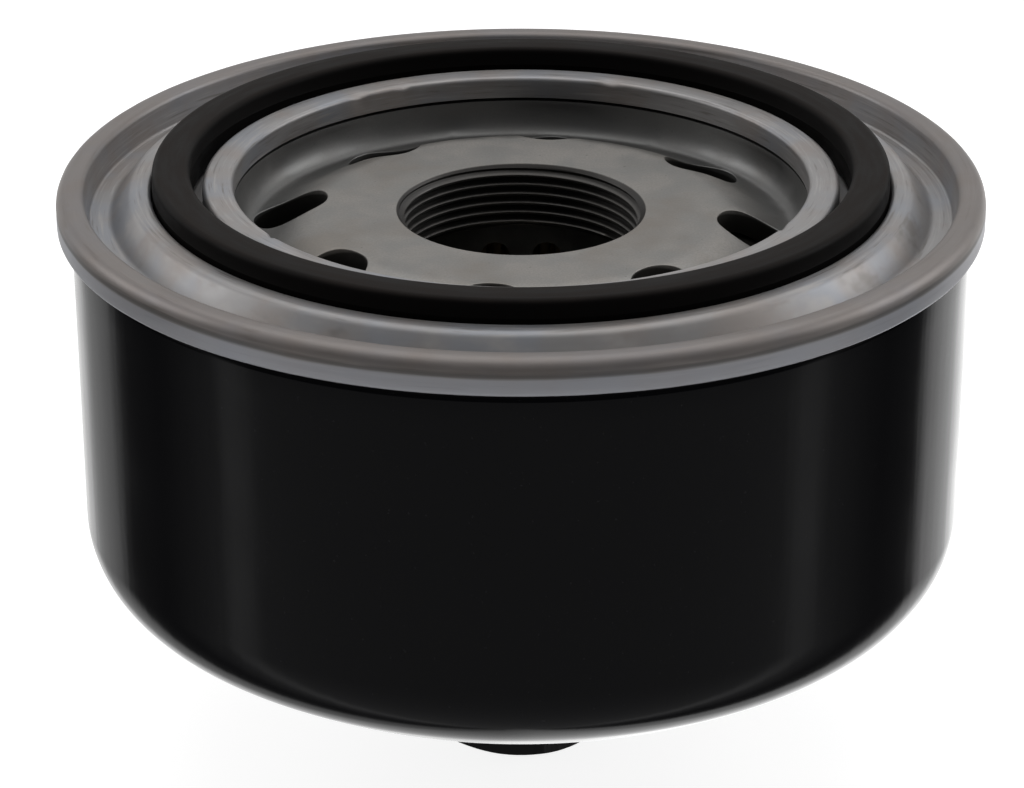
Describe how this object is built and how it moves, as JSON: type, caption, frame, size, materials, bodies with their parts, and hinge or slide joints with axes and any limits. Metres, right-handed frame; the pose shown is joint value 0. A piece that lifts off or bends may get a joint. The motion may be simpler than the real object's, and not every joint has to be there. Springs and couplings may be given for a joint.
{
  "type": "spin-on oil filter",
  "caption": "Wide spin-on oil filter: black domed can with hex nut, seamed steel lid, threaded plate, rubber gasket and a sprung pleated element with bypass and anti-drain valves.",
  "frame": {"origin": "centre of the hex nut's bottom face, on the filter's axis", "axes": "+Z along the axis from the spanner nut to the gasket; +X and +Y are square to it"},
  "size_m": [0.136, 0.136, 0.0936],
  "materials": {
    "black_paint": "deep gloss black paint on drawn steel",
    "lid_steel": "bare rolled steel, satin, faint brown and blue tints",
    "plate_steel": "bare pressed steel, fine grain, oily",
    "gasket_rubber": "moulded black rubber, satin",
    "sealant": "cured sealing compound, dull",
    "nitrile": "moulded nitrile rubber, matt",
    "cap_steel": "zinc plated pressed steel",
    "potting": "cured plastisol adhesive",
    "filter_paper": "resin impregnated filter paper",
    "tube_steel": "perforated tinplate",
    "spring_steel": "oiled spring wire"
  },
  "bodies": {
    "housing": {"can": "black_paint", "hex_nut": "black_paint", "seaming_lid": "lid_steel", "seam_compound": "sealant", "tapping_plate": "plate_steel", "gasket": "gasket_rubber", "support_spring": "spring_steel"},
    "element": {"upper_end_cap": "cap_steel", "lower_end_cap": "cap_steel", "upper_adhesive": "potting", "lower_adhesive": "potting", "pleated_media": "filter_paper", "media_seam_clip": "cap_steel", "centre_tube": "tube_steel", "neck_grommet": "nitrile", "bypass_cage": "cap_steel", "bypass_spring": "spring_steel"},
    "bypass_valve": {"bypass_disc": "cap_steel", "bypass_seal": "nitrile"},
    "anti_drain_valve": {"anti_drain_diaphragm": "nitrile"}
  },
  "joints": [
    {"name": "element_travel", "type": "slide", "parent": "housing", "child": "element", "axis": [0, 0, -1], "range_m": [0, 0.002], "stiffness_N_per_m": 5000, "springref_m": -0.02, "deforming": ["support_spring"]},
    {"name": "bypass_lift", "type": "slide", "parent": "element", "child": "bypass_valve", "axis": [0, 0, 1], "range_m": [0, 0.004], "stiffness_N_per_m": 4000, "springref_m": -0.012, "deforming": ["bypass_spring"]},
    {"name": "anti_drain_lift", "type": "slide", "parent": "housing", "child": "anti_drain_valve", "axis": [0, 0, -1], "range_m": [0, 0.0012], "stiffness_N_per_m": 600, "springref_m": -0.002}
  ]
}
